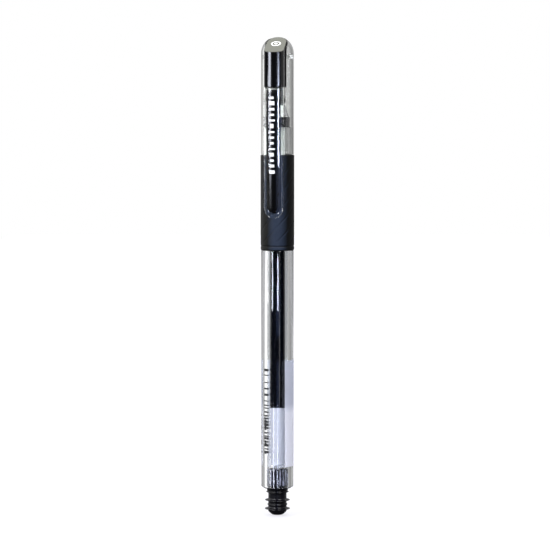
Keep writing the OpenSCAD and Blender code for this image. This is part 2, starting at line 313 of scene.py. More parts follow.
def print_tree(material):
    """Flat bars in a column along Z, each of its own thickness, width and place."""
    tree, given, out = geometry_tree("print_marks", [
        ("Count", "NodeSocketInt", 20), ("Length", "NodeSocketFloat", 26.0),
        ("Thinnest", "NodeSocketFloat", 0.25), ("Thickest", "NodeSocketFloat", 0.7),
        ("Narrowest", "NodeSocketFloat", 1.9), ("Widest", "NodeSocketFloat", 1.9),
        ("Wander", "NodeSocketFloat", 0.3), ("Film", "NodeSocketFloat", 0.01),
        ("Seed", "NodeSocketInt", 3),
    ])
    step = add(tree, "ShaderNodeMath", {0: given.outputs["Length"], 1: given.outputs["Count"]},
               operation="DIVIDE")
    rise = add(tree, "ShaderNodeCombineXYZ", {2: step.outputs[0]})
    line = add(tree, "GeometryNodeMeshLine",
               {"Count": given.outputs["Count"], "Offset": rise.outputs[0]})
    low = add(tree, "ShaderNodeMath", {0: given.outputs["Wander"], 1: -1.0}, operation="MULTIPLY")
    drift = add(tree, "FunctionNodeRandomValue",
                {2: low.outputs[0], 3: given.outputs["Wander"], "Seed": given.outputs["Seed"]})
    offset = add(tree, "ShaderNodeCombineXYZ", {2: drift.outputs[1]})
    moved = add(tree, "GeometryNodeSetPosition",
                {"Geometry": line.outputs[0], "Offset": offset.outputs[0]})
    seed_two = add(tree, "ShaderNodeMath", {0: given.outputs["Seed"], 1: 1.0})
    thick = add(tree, "FunctionNodeRandomValue",
                {2: given.outputs["Thinnest"], 3: given.outputs["Thickest"],
                 "Seed": seed_two.outputs[0]})
    seed_three = add(tree, "ShaderNodeMath", {0: given.outputs["Seed"], 1: 2.0})
    wide = add(tree, "FunctionNodeRandomValue",
               {2: given.outputs["Narrowest"], 3: given.outputs["Widest"],
                "Seed": seed_three.outputs[0]})
    size = add(tree, "ShaderNodeCombineXYZ",
               {0: wide.outputs[1], 1: given.outputs["Film"], 2: thick.outputs[1]})
    bar = add(tree, "GeometryNodeMeshCube",
              {"Size": (1, 1, 1), "Vertices X": 9, "Vertices Y": 2, "Vertices Z": 2})
    bars = add(tree, "GeometryNodeInstanceOnPoints",
               {"Points": moved.outputs[0], "Instance": bar.outputs[0], "Scale": size.outputs[0]})
    real = add(tree, "GeometryNodeRealizeInstances", {0: bars.outputs[0]})
    inked = add(tree, "GeometryNodeSetMaterial", {0: real.outputs[0], "Material": material})
    tree.links.new(inked.outputs[0], out.inputs[0])
    return tree


def print_ink(name, colour):
    """Pad-printing ink: a thin matt film with slightly uneven cover."""
    material, tree, out = new_material(name)
    place = add(tree, "ShaderNodeTexCoord")
    cover = add(tree, "ShaderNodeTexNoise",
                {0: place.outputs["Object"], "Scale": 1 / (0.15 * MM), "Detail": 3.0})
    rough = add(tree, "ShaderNodeMapRange", {0: cover.outputs[0], 3: 0.4, 4: 0.65})
    body = add(tree, "ShaderNodeBsdfPrincipled",
               {"Base Color": linear(colour), "Roughness": rough.outputs[0]})
    tree.links.new(body.outputs[0], out.inputs["Surface"])
    return material


PRINT_LIFT = 0.015
black_print = print_ink("black_pad_print", "17181c")
bars_tree = print_tree(black_print)
# Each column: its degrees round from the clip, its foot over the label's foot, its count,
# length, width and seed.
for name, turn, foot, count, length, width, seed in (
    ("barrel_bars", -33.5, 4.4, 16, 17.0, 1.9, 3),
    ("barrel_upper_bars", -33.5, 22.3, 5, 10.0, 1.9, 6),
    ("barrel_side_bars", -71, 4.4, 11, 12.5, 1.6, 8),
):
    bars = grown(name, bars_tree, {
        "Count": count, "Length": length, "Narrowest": width, "Widest": width, "Seed": seed,
        "Thinnest": 0.3, "Thickest": 0.85})
    bmesh.ops.translate(bars, verts=bars.verts, vec=(
        math.radians(turn - 90) * BARREL_R, PRINT_LIFT, label_low.z + foot))
    wrapped(bars, BARREL_R)
    piece(name, bars, black_print, "barrel")

# ---------------------------------------------------------------------------
# Tail plug: black polypropylene, pressed into the bore. Ribs round its inner
# stem grip the wall, and thin rings outside hold the cap when it is posted.
# ---------------------------------------------------------------------------
STEM_R = 2.85
plug_low, plug_high = corners("tail_plug")


def black_moulding(name, colour, gloss, edge_mm=0.12, painted_highlight=None):
    """Polished black moulding: deep gloss with a faint orange peel, and softened edges. A painted
    highlight colour gives it pale streaks of painted highlight along the pen."""
    material, tree, out = new_material(name)
    place = add(tree, "ShaderNodeTexCoord")
    peel = add(tree, "ShaderNodeTexNoise",
               {0: place.outputs["Object"], "Scale": 1 / (1.2 * MM), "Detail": 2.0})
    edge = add(tree, "ShaderNodeBevel", {"Radius": edge_mm * MM}, samples=4)
    bump = add(tree, "ShaderNodeBump", {
        "Height": peel.outputs[0], "Strength": 0.1, "Distance": 0.02 * MM,
        "Normal": edge.outputs[0]})
    wipe = add(tree, "ShaderNodeTexNoise",
               {0: place.outputs["Object"], "Scale": 1 / (0.4 * MM), "Detail": 5.0})
    rough = add(tree, "ShaderNodeMapRange",
                {0: wipe.outputs[0], 1: 0.3, 2: 0.75, 3: gloss, 4: gloss + 0.08})
    body = add(tree, "ShaderNodeBsdfPrincipled", {
        "Base Color": linear(colour), "Roughness": rough.outputs[0], "IOR": 1.5,
        "Normal": bump.outputs[0]})
    if painted_highlight:
        # Painted highlights: pale streaks about 0.4 mm wide run along the pen.
        along = add(tree, "ShaderNodeMapping", {0: place.outputs["Object"], "Scale": (1, 1, 0.3)})
        highlight_streaks = add(tree, "ShaderNodeTexNoise",
                    {0: along.outputs[0], "Scale": 1 / (0.4 * MM), "Detail": 3.0})
        painted_highlight_mask = add(tree, "ShaderNodeMapRange", {0: highlight_streaks.outputs[0], 1: 0.38, 2: 0.66})
        tone = add(tree, "ShaderNodeMix",
                   {0: painted_highlight_mask.outputs[0], 6: linear(colour), 7: linear(painted_highlight)}, data_type="RGBA")
        tree.links.new(tone.outputs[2], body.inputs["Base Color"])
    tree.links.new(body.outputs[0], out.inputs["Surface"])
    return material


def fin(z, r):
    """Outline of a thin ring whose two faces meet the stem in a small curve."""
    return [(STEM_R, z + 0.42, 0.25), (r - 0.35, z + 0.12, 0.3), (r, z + 0.07, 0.06),
            (r, z - 0.07, 0.06), (r - 0.35, z - 0.12, 0.3), (STEM_R, z - 0.42, 0.25)]


polypropylene = black_moulding("black_polypropylene", "0a0a10", 0.08)
RIB_R = 0.26
FLANGE_R = 4.35
BAND_R = 3.08
core_r = BORE_R - RIB_R
# From the top: core, flange against the barrel's end, shoulder, two fins, a low band, a fin, end.
plug_outline = [(0, plug_high.z, 0), (core_r, plug_high.z, 0.3), (core_r, -0.02, 0),
                (FLANGE_R, -0.02, 0.08), (FLANGE_R, -0.34, 0.14), (3.3, -0.5, 0.1),
                (3.25, -1.15, 0.3)]
plug_outline += fin(-1.65, 3.5) + fin(-4.2, 3.85)
plug_outline += [(STEM_R, -5.3, 0.1), (BAND_R, -5.45, 0.12), (BAND_R, -5.75, 0.12),
                 (STEM_R, -5.9, 0.1)]
plug_outline += fin(-6.9, 3.9)
plug_outline += [(STEM_R, -7.75, 0.5), (1.7, -8.75, 0.9), (0, plug_low.z, 0)]
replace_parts(piece("tail_plug_body", turned(plug_outline), polypropylene, "barrel"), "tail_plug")


def rib_tree(material):
    """Half-round ribs spaced evenly round a stem, each with a domed lead-in."""
    tree, given, out = geometry_tree("plug_ribs", [
        ("Count", "NodeSocketInt", 22), ("Pitch radius", "NodeSocketFloat", 3.0),
        ("Rib radius", "NodeSocketFloat", 0.26), ("Length", "NodeSocketFloat", 5.0),
        ("Middle", "NodeSocketFloat", 3.0),
    ])
    ring = add(tree, "GeometryNodeMeshCircle",
               {"Vertices": given.outputs["Count"], "Radius": given.outputs["Pitch radius"]})
    lift = add(tree, "ShaderNodeCombineXYZ", {2: given.outputs["Middle"]})
    lifted = add(tree, "GeometryNodeSetPosition",
                 {"Geometry": ring.outputs[0], "Offset": lift.outputs[0]})
    rib = add(tree, "GeometryNodeMeshUVSphere", {"Segments": 16, "Rings": 24, "Radius": 1.0})
    high = add(tree, "ShaderNodeMath", {0: given.outputs["Length"], 1: 0.5}, operation="MULTIPLY")
    place = add(tree, "GeometryNodeInputPosition")
    parts = add(tree, "ShaderNodeSeparateXYZ", {0: place.outputs[0]})
    # A sphere pulled out along Z: past the equator each half moves to its own end.
    side = add(tree, "ShaderNodeMath", {0: parts.outputs[2]}, operation="SIGN")
    body = add(tree, "ShaderNodeMath",
               {0: high.outputs[0], 1: given.outputs["Rib radius"]}, operation="SUBTRACT")
    far = add(tree, "ShaderNodeMath", {0: side.outputs[0], 1: body.outputs[0]},
              operation="MULTIPLY")
    stretch = add(tree, "ShaderNodeCombineXYZ", {2: far.outputs[0]})
    small = add(tree, "ShaderNodeVectorMath",
                {0: place.outputs[0], "Scale": given.outputs["Rib radius"]}, operation="SCALE")
    pulled = add(tree, "GeometryNodeSetPosition", {
        "Geometry": rib.outputs[0], "Position": small.outputs[0], "Offset": stretch.outputs[0]})
    ribs = add(tree, "GeometryNodeInstanceOnPoints",
               {"Points": lifted.outputs[0], "Instance": pulled.outputs[0]})
    real = add(tree, "GeometryNodeRealizeInstances", {0: ribs.outputs[0]})
    dressed = add(tree, "GeometryNodeSetMaterial", {0: real.outputs[0], "Material": material})
    tree.links.new(dressed.outputs[0], out.inputs[0])
    return tree


# Painted highlight: the ribs' black is painted lighter than the plug's, with pale streaks along
# them.
RIB_SUNK = 0.03
RIB_SHORT = 0.6
RIB_RAISED = 0.2
rib_plastic = black_moulding("polypropylene_painted_highlights", "1c1d24", 0.12, painted_highlight="787b8d")
piece("tail_plug_ribs", grown("tail_plug_ribs", rib_tree(rib_plastic), {
    "Pitch radius": core_r - RIB_SUNK, "Rib radius": RIB_R,
    "Length": plug_high.z - RIB_SHORT, "Middle": plug_high.z / 2 + RIB_RAISED}),
    rib_plastic, "barrel")

# ---------------------------------------------------------------------------
# Grip: a sleeve of black thermoplastic rubber, slid over the neck on to its
# seat. Shallow slanting grooves run round it, with a bead at the lower edge.
# ---------------------------------------------------------------------------
GRIP_R = grip_high.x


def grip_tree(material):
    """A tube's wall with helical grooves pressed into its outer face."""
    tree, given, out = geometry_tree("grip_grooves", [
        ("Starts", "NodeSocketInt", 7), ("Radius", "NodeSocketFloat", GRIP_R),
        ("Length", "NodeSocketFloat", 29.4), ("Foot", "NodeSocketFloat", 73.5),
        ("Depth", "NodeSocketFloat", 0.09), ("Groove width", "NodeSocketFloat", 0.55),
        ("Plain end", "NodeSocketFloat", 2.2), ("Full depth from", "NodeSocketFloat", 3.4),
        ("Bead", "NodeSocketFloat", 1.3), ("Bead line width", "NodeSocketFloat", 0.28),
        ("Bead line depth", "NodeSocketFloat", 0.16), ("Edge radius", "NodeSocketFloat", 0.35),
    ])
    wall = add(tree, "GeometryNodeMeshCylinder", {
        "Vertices": 176, "Side Segments": 260, "Radius": given.outputs["Radius"],
        "Depth": given.outputs["Length"]}, fill_type="NONE")
    place = add(tree, "GeometryNodeInputPosition")
    parts = add(tree, "ShaderNodeSeparateXYZ", {0: place.outputs[0]})
    turn = add(tree, "ShaderNodeMath", {0: parts.outputs[1], 1: parts.outputs[0]},
               operation="ARCTAN2")
    arc = add(tree, "ShaderNodeMath", {0: turn.outputs[0], 1: given.outputs["Radius"]},
              operation="MULTIPLY")
    climb = add(tree, "ShaderNodeMath", {0: parts.outputs[2], 1: arc.outputs[0]},
                operation="SUBTRACT")
    round_len = add(tree, "ShaderNodeMath", {0: given.outputs["Radius"], 1: 2 * math.pi},
                    operation="MULTIPLY")
    pitch = add(tree, "ShaderNodeMath", {0: round_len.outputs[0], 1: given.outputs["Starts"]},
                operation="DIVIDE")
    half_pitch = add(tree, "ShaderNodeMath", {0: pitch.outputs[0], 1: 0.5}, operation="MULTIPLY")
    low = add(tree, "ShaderNodeMath", {0: half_pitch.outputs[0], 1: -1.0}, operation="MULTIPLY")
    wrap = add(tree, "ShaderNodeMath",
               {0: climb.outputs[0], 1: half_pitch.outputs[0], 2: low.outputs[0]},
               operation="WRAP")
    away = add(tree, "ShaderNodeMath", {0: wrap.outputs[0]}, operation="ABSOLUTE")
    # Across a 45 degree groove, the distance is that along Z over the root of two.
    across = add(tree, "ShaderNodeMath", {0: away.outputs[0], 1: math.sqrt(0.5)},
                 operation="MULTIPLY")
    half_width = add(tree, "ShaderNodeMath", {0: given.outputs["Groove width"], 1: 0.5},
                     operation="MULTIPLY")
    dip = add(tree, "ShaderNodeMapRange",
              {0: across.outputs[0], 1: half_width.outputs[0], 2: 0.0},
              interpolation_type="SMOOTHSTEP")
    # The grooves fade out before the two plain ends.
    height = add(tree, "ShaderNodeMath", {0: parts.outputs[2]}, operation="ABSOLUTE")
    half_len = add(tree, "ShaderNodeMath", {0: given.outputs["Length"], 1: 0.5},
                   operation="MULTIPLY")
    to_end = add(tree, "ShaderNodeMath", {0: half_len.outputs[0], 1: height.outputs[0]},
                 operation="SUBTRACT")
    fade = add(tree, "ShaderNodeMapRange",
               {0: to_end.outputs[0], 1: given.outputs["Plain end"],
                2: given.outputs["Full depth from"]},
               interpolation_type="SMOOTHSTEP")
    faded = add(tree, "ShaderNodeMath", {0: dip.outputs[0], 1: fade.outputs[0]},
                operation="MULTIPLY")
    deep = add(tree, "ShaderNodeMath", {0: faded.outputs[0], 1: given.outputs["Depth"]},
               operation="MULTIPLY")
    # A fine line parts the lower bead from the rest of the sleeve.
    foot_line = add(tree, "ShaderNodeMath", {0: half_len.outputs[0], 1: given.outputs["Bead"]},
                    operation="SUBTRACT")
    foot_gap = add(tree, "ShaderNodeMath", {0: parts.outputs[2], 1: foot_line.outputs[0]})
    foot_off = add(tree, "ShaderNodeMath", {0: foot_gap.outputs[0]}, operation="ABSOLUTE")
    foot_dip = add(tree, "ShaderNodeMapRange",
                   {0: foot_off.outputs[0], 1: given.outputs["Bead line width"], 2: 0.0,
                    4: given.outputs["Bead line depth"]},
                   interpolation_type="SMOOTHSTEP")
    # Both ends roll over to a small radius.
    roll = add(tree, "ShaderNodeMapRange",
               {0: to_end.outputs[0], 1: given.outputs["Edge radius"], 2: 0.0})
    squared = add(tree, "ShaderNodeMath", {0: roll.outputs[0], 1: 2.0}, operation="POWER")
    rest = add(tree, "ShaderNodeMath", {0: 1.0, 1: squared.outputs[0]}, operation="SUBTRACT")
    root = add(tree, "ShaderNodeMath", {0: rest.outputs[0]}, operation="SQRT")
    left = add(tree, "ShaderNodeMath", {0: 1.0, 1: root.outputs[0]}, operation="SUBTRACT")
    edge = add(tree, "ShaderNodeMath", {0: left.outputs[0], 1: given.outputs["Edge radius"]},
               operation="MULTIPLY")
    cut_a = add(tree, "ShaderNodeMath", {0: deep.outputs[0], 1: foot_dip.outputs[0]})
    cut = add(tree, "ShaderNodeMath", {0: cut_a.outputs[0], 1: edge.outputs[0]})
    share = add(tree, "ShaderNodeMath", {0: cut.outputs[0], 1: given.outputs["Radius"]},
                operation="DIVIDE")
    keep = add(tree, "ShaderNodeMath", {0: 1.0, 1: share.outputs[0]}, operation="SUBTRACT")
    lift = add(tree, "ShaderNodeMath", {0: given.outputs["Foot"], 1: half_len.outputs[0]})
    new_x = add(tree, "ShaderNodeMath", {0: parts.outputs[0], 1: keep.outputs[0]},
                operation="MULTIPLY")
    new_y = add(tree, "ShaderNodeMath", {0: parts.outputs[1], 1: keep.outputs[0]},
                operation="MULTIPLY")
    new_z = add(tree, "ShaderNodeMath", {0: parts.outputs[2], 1: lift.outputs[0]})
    where = add(tree, "ShaderNodeCombineXYZ",
                {0: new_x.outputs[0], 1: new_y.outputs[0], 2: new_z.outputs[0]})
    shaped = add(tree, "GeometryNodeSetPosition",
                 {"Geometry": wall.outputs[0], "Position": where.outputs[0]})
    real = add(tree, "GeometryNodeRealizeInstances", {0: shaped.outputs[0]})
    dressed = add(tree, "GeometryNodeSetMaterial", {0: real.outputs[0], "Material": material})
    tree.links.new(dressed.outputs[0], out.inputs[0])
    return tree


def grip_rubber():
    """Thermoplastic rubber: satin, with a fine spark-eroded grain. Where it faces the view its
    colour is a painted blue sheen, and towards its sides it goes to painted black shade.
    """
    material, tree, out = new_material("grip_rubber")
    place = add(tree, "ShaderNodeTexCoord")
    grain = add(tree, "ShaderNodeTexVoronoi",
                {0: place.outputs["Object"], "Scale": 1 / (0.12 * MM)})
    cloud = add(tree, "ShaderNodeTexNoise",
                {0: place.outputs["Object"], "Scale": 1 / (4 * MM), "Detail": 4.0})
    bump = add(tree, "ShaderNodeBump",
               {"Height": grain.outputs[0], "Strength": 0.35, "Distance": 0.02 * MM})
    rough = add(tree, "ShaderNodeMapRange",
                {0: cloud.outputs[0], 1: 0.3, 2: 0.7, 3: 0.36, 4: 0.46})
    # Painted sheen: this blue-grey tone, varied at random, stands in for the soft light the black
    # rubber mirrors.
    tone = add(tree, "ShaderNodeMix",
               {0: cloud.outputs[0], 6: linear("1f2737"), 7: linear("293140")}, data_type="RGBA")
    # Painted shade: the colour goes black towards the sides, where the surface turns away from the
    # view.
    turn = add(tree, "ShaderNodeLayerWeight", {"Blend": 0.5})
    side = add(tree, "ShaderNodeMapRange", {0: turn.outputs["Facing"], 1: 0.02, 2: 0.2})
    painted_sheen_and_shade = add(tree, "ShaderNodeMix",
                 {0: side.outputs[0], 6: tone.outputs[2], 7: linear("050607")}, data_type="RGBA")
    body = add(tree, "ShaderNodeBsdfPrincipled", {
        "Base Color": painted_sheen_and_shade.outputs[2], "Roughness": rough.outputs[0], "Specular IOR Level": 0.12,
        "Normal": bump.outputs[0]})
    tree.links.new(body.outputs[0], out.inputs["Surface"])
    return material


# The sleeve's inner face is laid a hair off the seat, so that the two don't share a face.
SLEEVE_BORE_R = SEAT_R + 0.005
rubber = grip_rubber()
sleeve = grown("rubber_grip", grip_tree(rubber), {
    "Radius": GRIP_R, "Length": grip_high.z - grip_low.z, "Foot": grip_low.z})
rims = [e for e in sleeve.edges if e.is_boundary]
inside = bmesh.ops.extrude_edge_only(sleeve, edges=rims)["geom"]
for vert in [g for g in inside if isinstance(g, bmesh.types.BMVert)]:
    flat = Vector((vert.co.x, vert.co.y, 0)).normalized() * SLEEVE_BORE_R
    vert.co = Vector((flat.x, flat.y, vert.co.z))
bmesh.ops.bridge_loops(sleeve, edges=[e for e in sleeve.edges if e.is_boundary])
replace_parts(piece("rubber_grip", sleeve, rubber, "barrel", sharp=60), "grip")

# ---------------------------------------------------------------------------
# Front end: a clear polystyrene cone whose stem screws into the neck, and a
# collar of black polypropylene round it that the cap's step closes over.
# ---------------------------------------------------------------------------
cone_low, cone_high = corners("nose_cone")
ring_low, ring_high = corners("nose_ring")
STEM_BORE_R = 2.3
COLLAR_BORE_R = 3.0
HOLDER_BORE_R = 1.6
TIP_BORE_R = 1.16
TIP_R = 1.42
screw_r = BORE_R - 0.03
seat_r = COLLAR_BORE_R - 0.01
step_z = ring_high.z + 3.5
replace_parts(piece("clear_nose", turned([
    (STEM_BORE_R, cone_low.z, 0.1), (screw_r, cone_low.z, 0.2), (screw_r, ring_low.z, 0),
    (seat_r, ring_low.z, 0), (seat_r, ring_high.z, 0), (3.5, ring_high.z, 0.12),
    (TIP_R, cone_high.z, 0.15), (TIP_BORE_R, cone_high.z, 0.05), (TIP_BORE_R, step_z, 0),
    (HOLDER_BORE_R, step_z, 0.1), (HOLDER_BORE_R, ring_high.z, 0.1),
    (STEM_BORE_R, ring_high.z - 0.7, 0.1),
]), polystyrene, "front"), "nose_cone")
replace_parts(piece("black_collar", turned([
    (COLLAR_BORE_R, ring_low.z, 0.05), (ring_high.x, ring_low.z, 0.15),
    (ring_high.x, ring_high.z, 0.15), (COLLAR_BORE_R, ring_high.z, 0.05),
]), polypropylene, "front"), "nose_ring")

# ---------------------------------------------------------------------------
# Refill: a thick-walled tube of clear polypropylene with the ink in its bore,
# and milky grease behind the ink that follows it up the tube.
# ---------------------------------------------------------------------------
tube_low, tube_high = corners("refill_tube")
ink_low, ink_high = corners("ink")
grease_low, grease_high = corners("follower")
TUBE_BORE_R = 1.55
# Ink and grease wet the wall, so each reaches a hair into it and no air shows between.
WET_R = TUBE_BORE_R + 0.01
tube_plastic = clear_moulding("clear_polypropylene", "f8f9fb", 1.49, 0.03)
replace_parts(piece("refill_tube_wall", turned([
    (TUBE_BORE_R, tube_low.z, 0.05), (tube_high.x, tube_low.z, 0.15),
    (tube_high.x, tube_high.z, 0.05), (TUBE_BORE_R, tube_high.z, 0.05),
]), tube_plastic, "front"), "refill_tube")


def gel_ink():
    """Black gel ink: blue-black pigment, wet against the tube's wall. The wall bends light
    nearly as much as the ink does, so where they meet hardly anything is mirrored."""
    material, tree, out = new_material("black_gel_ink")
    place = add(tree, "ShaderNodeTexCoord")
    streak = add(tree, "ShaderNodeMapping", {0: place.outputs["Object"], "Scale": (1, 1, 0.1)})
    swirl = add(tree, "ShaderNodeTexNoise",
                {0: streak.outputs[0], "Scale": 1 / (1.5 * MM), "Detail": 3.0})
    tone = add(tree, "ShaderNodeMix",
               {0: swirl.outputs[0], 6: linear("010103"), 7: linear("04060e")}, data_type="RGBA")
    body = add(tree, "ShaderNodeBsdfPrincipled",
               {"Base Color": tone.outputs[2], "Roughness": 0.35, "IOR": 1.05})
    tree.links.new(body.outputs[0], out.inputs["Surface"])
    return material


ink = piece("gel_ink", turned([
    (0, ink_low.z, 0), (WET_R, ink_low.z, 0), (WET_R, ink_high.z, 0), (0, ink_high.z, 0),
]), gel_ink(), "front")
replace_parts(ink, "ink")
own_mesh(ink)


def grease():
    """Follower grease: a milky gel that light passes into and scatters through."""
    material, tree, out = new_material("follower_grease")
    place = add(tree, "ShaderNodeTexCoord")
    cloud = add(tree, "ShaderNodeTexNoise",
                {0: place.outputs["Object"], "Scale": 1 / (2.5 * MM), "Detail": 3.0})
    tone = add(tree, "ShaderNodeMix",
               {0: cloud.outputs[0], 6: linear("eef0fc"), 7: linear("fafaff")}, data_type="RGBA")
    face = add(tree, "ShaderNodeBsdfPrincipled",
               {"Base Color": tone.outputs[2], "Roughness": 0.3, "IOR": 1.05})
    back = add(tree, "ShaderNodeBsdfTranslucent", {0: tone.outputs[2]})
    both = add(tree, "ShaderNodeMixShader", {0: 0.68, 1: face.outputs[0], 2: back.outputs[0]})
    tree.links.new(both.outputs[0], out.inputs["Surface"])
    return material


# A hair is left between grease and ink, so that the two don't share a face.
PARTING = 0.02
grease_top = grease_high.z - PARTING
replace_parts(piece("follower_grease", turned([
    (0, grease_low.z, 0), (WET_R, grease_low.z, 0.25), (WET_R, grease_top, 0), (0, grease_top, 0),
]), grease(), "follower"), "follower")

# ---------------------------------------------------------------------------
# Tip: a white holder joins the tube to a turned stainless cone and needle,
# with a steel check ball inside and the carbide writing ball crimped in front.
# ---------------------------------------------------------------------------


def dress(node, material):
    """Gives a CAD node its material."""
    part = frame["nodes"][node]
    part.data.materials.clear()
    part.data.materials.append(material)


def satin_plastic(name, colour, gloss):
    """Unpolished moulding: satin, with a fine grain from the tool."""
    material, tree, out = new_material(name)
    place = add(tree, "ShaderNodeTexCoord")
    grain = add(tree, "ShaderNodeTexNoise",
                {0: place.outputs["Object"], "Scale": 1 / (0.1 * MM), "Detail": 3.0})
    bump = add(tree, "ShaderNodeBump",
               {"Height": grain.outputs[0], "Strength": 0.25, "Distance": 0.01 * MM})
    rough = add(tree, "ShaderNodeMapRange", {0: grain.outputs[0], 3: gloss, 4: gloss + 0.12})
    body = add(tree, "ShaderNodeBsdfPrincipled", {
        "Base Color": linear(colour), "Roughness": rough.outputs[0], "Normal": bump.outputs[0]})
    tree.links.new(body.outputs[0], out.inputs["Surface"])
    return material


def turned_metal(name, colour, rough_low, feed_mm=0.05):
    """Turned metal: bright, with the tool's fine rings round the axis."""
    material, tree, out = new_material(name)
    place = add(tree, "ShaderNodeTexCoord")
    along = add(tree, "ShaderNodeMapping", {0: place.outputs["Object"], "Scale": (0.05, 0.05, 1)})
    rings = add(tree, "ShaderNodeTexNoise",
                {0: along.outputs[0], "Scale": 1 / (feed_mm * MM), "Detail": 2.0})
    bump = add(tree, "ShaderNodeBump",
               {"Height": rings.outputs[0], "Strength": 0.3, "Distance": 0.004 * MM})
    rough = add(tree, "ShaderNodeMapRange", {0: rings.outputs[0], 3: rough_low, 4: rough_low + 0.1})
    body = add(tree, "ShaderNodeBsdfPrincipled", {
        "Base Color": linear(colour), "Metallic": 1.0, "Roughness": rough.outputs[0],
        "Normal": bump.outputs[0]})
    tree.links.new(body.outputs[0], out.inputs["Surface"])
    return material


stainless = turned_metal("turned_stainless", "cfcfd0", 0.16)
dress("tip_holder", satin_plastic("white_acetal", "e9ebea", 0.35))
dress("tip_shell", stainless)
dress("check_ball", stainless)
dress("writing_ball", turned_metal("ground_carbide", "8e8f94", 0.2, feed_mm=0.02))

# ---------------------------------------------------------------------------
# Cap: moulded in clear polystyrene, as are the inner cap that shuts over the
# nose and the disc that centres it. A soft pad sits behind the writing ball.
# ---------------------------------------------------------------------------
cap_plastic = clear_moulding("clear_cap_polystyrene", "fafbfa", 1.54, 0.012)
for node in ("cap_shell", "inner_cap", "cap_plug_ring"):
    dress(node, cap_plastic)
dress("cap_seal", satin_plastic("seal_elastomer", "c9cac8", 0.6))

# ---------------------------------------------------------------------------
# Head: black polystyrene insert that closes the cap's top and carries the
# clip's root. Its polished oval face slopes down towards the clip.
# ---------------------------------------------------------------------------
styrene = black_moulding("black_styrene", "060607", 0.07, edge_mm=0.18)
dress("cap_head", styrene)

# ---------------------------------------------------------------------------
# Clip: a clear polystyrene arm with a round free end and a bump inside it, and
# a black strip set in its front, pad printed with a row of plain white bars.
# ---------------------------------------------------------------------------
arm_low, arm_high = corners("clip_arm")
hinge = next(j for j in frame["joints"] if j["name"] == "clip_flex")
HINGE_AT = Vector(hinge["pos_m"]) / MM
CLIP_LEAN = math.radians(1.2)
CLIP_LEN = 39.9
CLIP_FRONT = 0.75
CLIP_T = 1.3
CROWN_R = 8.0
CLIP_W = arm_high.x - arm_low.x
in_clip = Matrix.Translation(HINGE_AT) @ Matrix.Rotation(CLIP_LEAN, 4, "X")


def tongue_outline(half, top, end, inset, arc=24, sides=40, across=8):
    """Loop of (x, z) points of a strip with a square top and a round lower end, inset evenly."""
    w = half - inset
    z_arc = end + half
    z_top = top - inset
    points = [(w * math.cos(math.pi * k / arc), z_arc - w * math.sin(math.pi * k / arc))
              for k in range(arc + 1)]
    points += [(-w, z_arc + (z_top - z_arc) * k / sides) for k in range(1, sides + 1)]
    points += [(-w + 2 * w * k / across, z_top) for k in range(1, across + 1)]
    points += [(w, z_top + (z_arc - z_top) * k / sides) for k in range(1, sides)]
    return points


def tongue(half, top, end, front, back, edge, crown, panel=None):
    """A closed strip between y = front and y = back, its front crowned and its rim rounded.
    A panel (inset, slope, depth) stands up in the middle, with a sloped border round it."""
    levels = []
    for k in range(5):
        turn = math.pi / 2 * k / 4
        levels.append((edge * (1 - math.sin(turn)), back - edge * (1 - math.cos(turn)), False))
    sunk = panel[2] if panel else 0.0
    for k in range(5):
        turn = math.pi / 2 * k / 4
        levels.append((edge * (1 - math.cos(turn)), front + sunk + edge * (1 - math.sin(turn)),
                       True))
    first = edge
    if panel:
        levels.append((panel[0], front + sunk, True))
        levels.append((panel[0] + panel[1], front, True))
        first = panel[0] + panel[1]
    for k in range(1, 9):
        levels.append((first + (half - first) * 0.98 * k / 8, front, True))
    bm = bmesh.new()
    rings = []
    for inset, y, crowned in levels:
        ring = []
        for x, z in tongue_outline(half, top, end, inset):
            drop = crown - math.sqrt(crown * crown - x * x) if crowned else 0.0
            ring.append(bm.verts.new((x, y + drop, z)))
        rings.append(ring)
    count = len(rings[0])
    for one, two in zip(rings, rings[1:]):
        for k in range(count):
            bm.faces.new((one[k], one[(k + 1) % count], two[(k + 1) % count], two[k]))
    bm.faces.new(rings[0])
    bm.faces.new(rings[-1])
    return bm


SHOULDER = 0.12
KNUCKLE_R = 0.5
KNUCKLE_W = 5
PAD_HALF = (1.6, 0.5, 1.5)
PAD_UP = 3.6
PAD_SUNK = 0.23
clip_back = CLIP_T - CLIP_FRONT
arm = tongue(CLIP_W / 2, -SHOULDER, -CLIP_LEN, -CLIP_FRONT, clip_back, 0.16, CROWN_R)
root = bmesh.ops.create_cone(arm, cap_ends=True, segments=32, radius1=KNUCKLE_R,
                             radius2=KNUCKLE_R, depth=KNUCKLE_W)
bmesh.ops.rotate(arm, verts=root["verts"], matrix=Matrix.Rotation(math.pi / 2, 3, "Y"))
bump_pad = bmesh.ops.create_uvsphere(arm, u_segments=32, v_segments=16, radius=1)
bmesh.ops.scale(arm, verts=bump_pad["verts"], vec=PAD_HALF)
bmesh.ops.translate(arm, verts=bump_pad["verts"], vec=(0, clip_back - PAD_SUNK, PAD_UP - CLIP_LEN))
arm.transform(in_clip)
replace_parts(piece("clear_clip_arm", arm, cap_plastic, "clip", sharp=50), "clip_arm")

STRIP_PROUD = 0.03
strip_low, strip_high = corners("clip_strip")
STRIP_W = strip_high.x - strip_low.x
STRIP_UP = 0.6
STRIP_END = -CLIP_LEN + CLIP_W / 2 + STRIP_UP - STRIP_W / 2
STRIP_TOP = -0.8
STRIP_BACK = -0.2
PANEL = (0.5, 0.45, 0.18)
strip = tongue(STRIP_W / 2, STRIP_TOP, STRIP_END, -CLIP_FRONT - STRIP_PROUD, STRIP_BACK, 0.08,
               CROWN_R, PANEL)
strip.transform(in_clip)
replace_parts(piece("black_clip_strip", strip, styrene, "clip", sharp=12),
            "clip_strip")

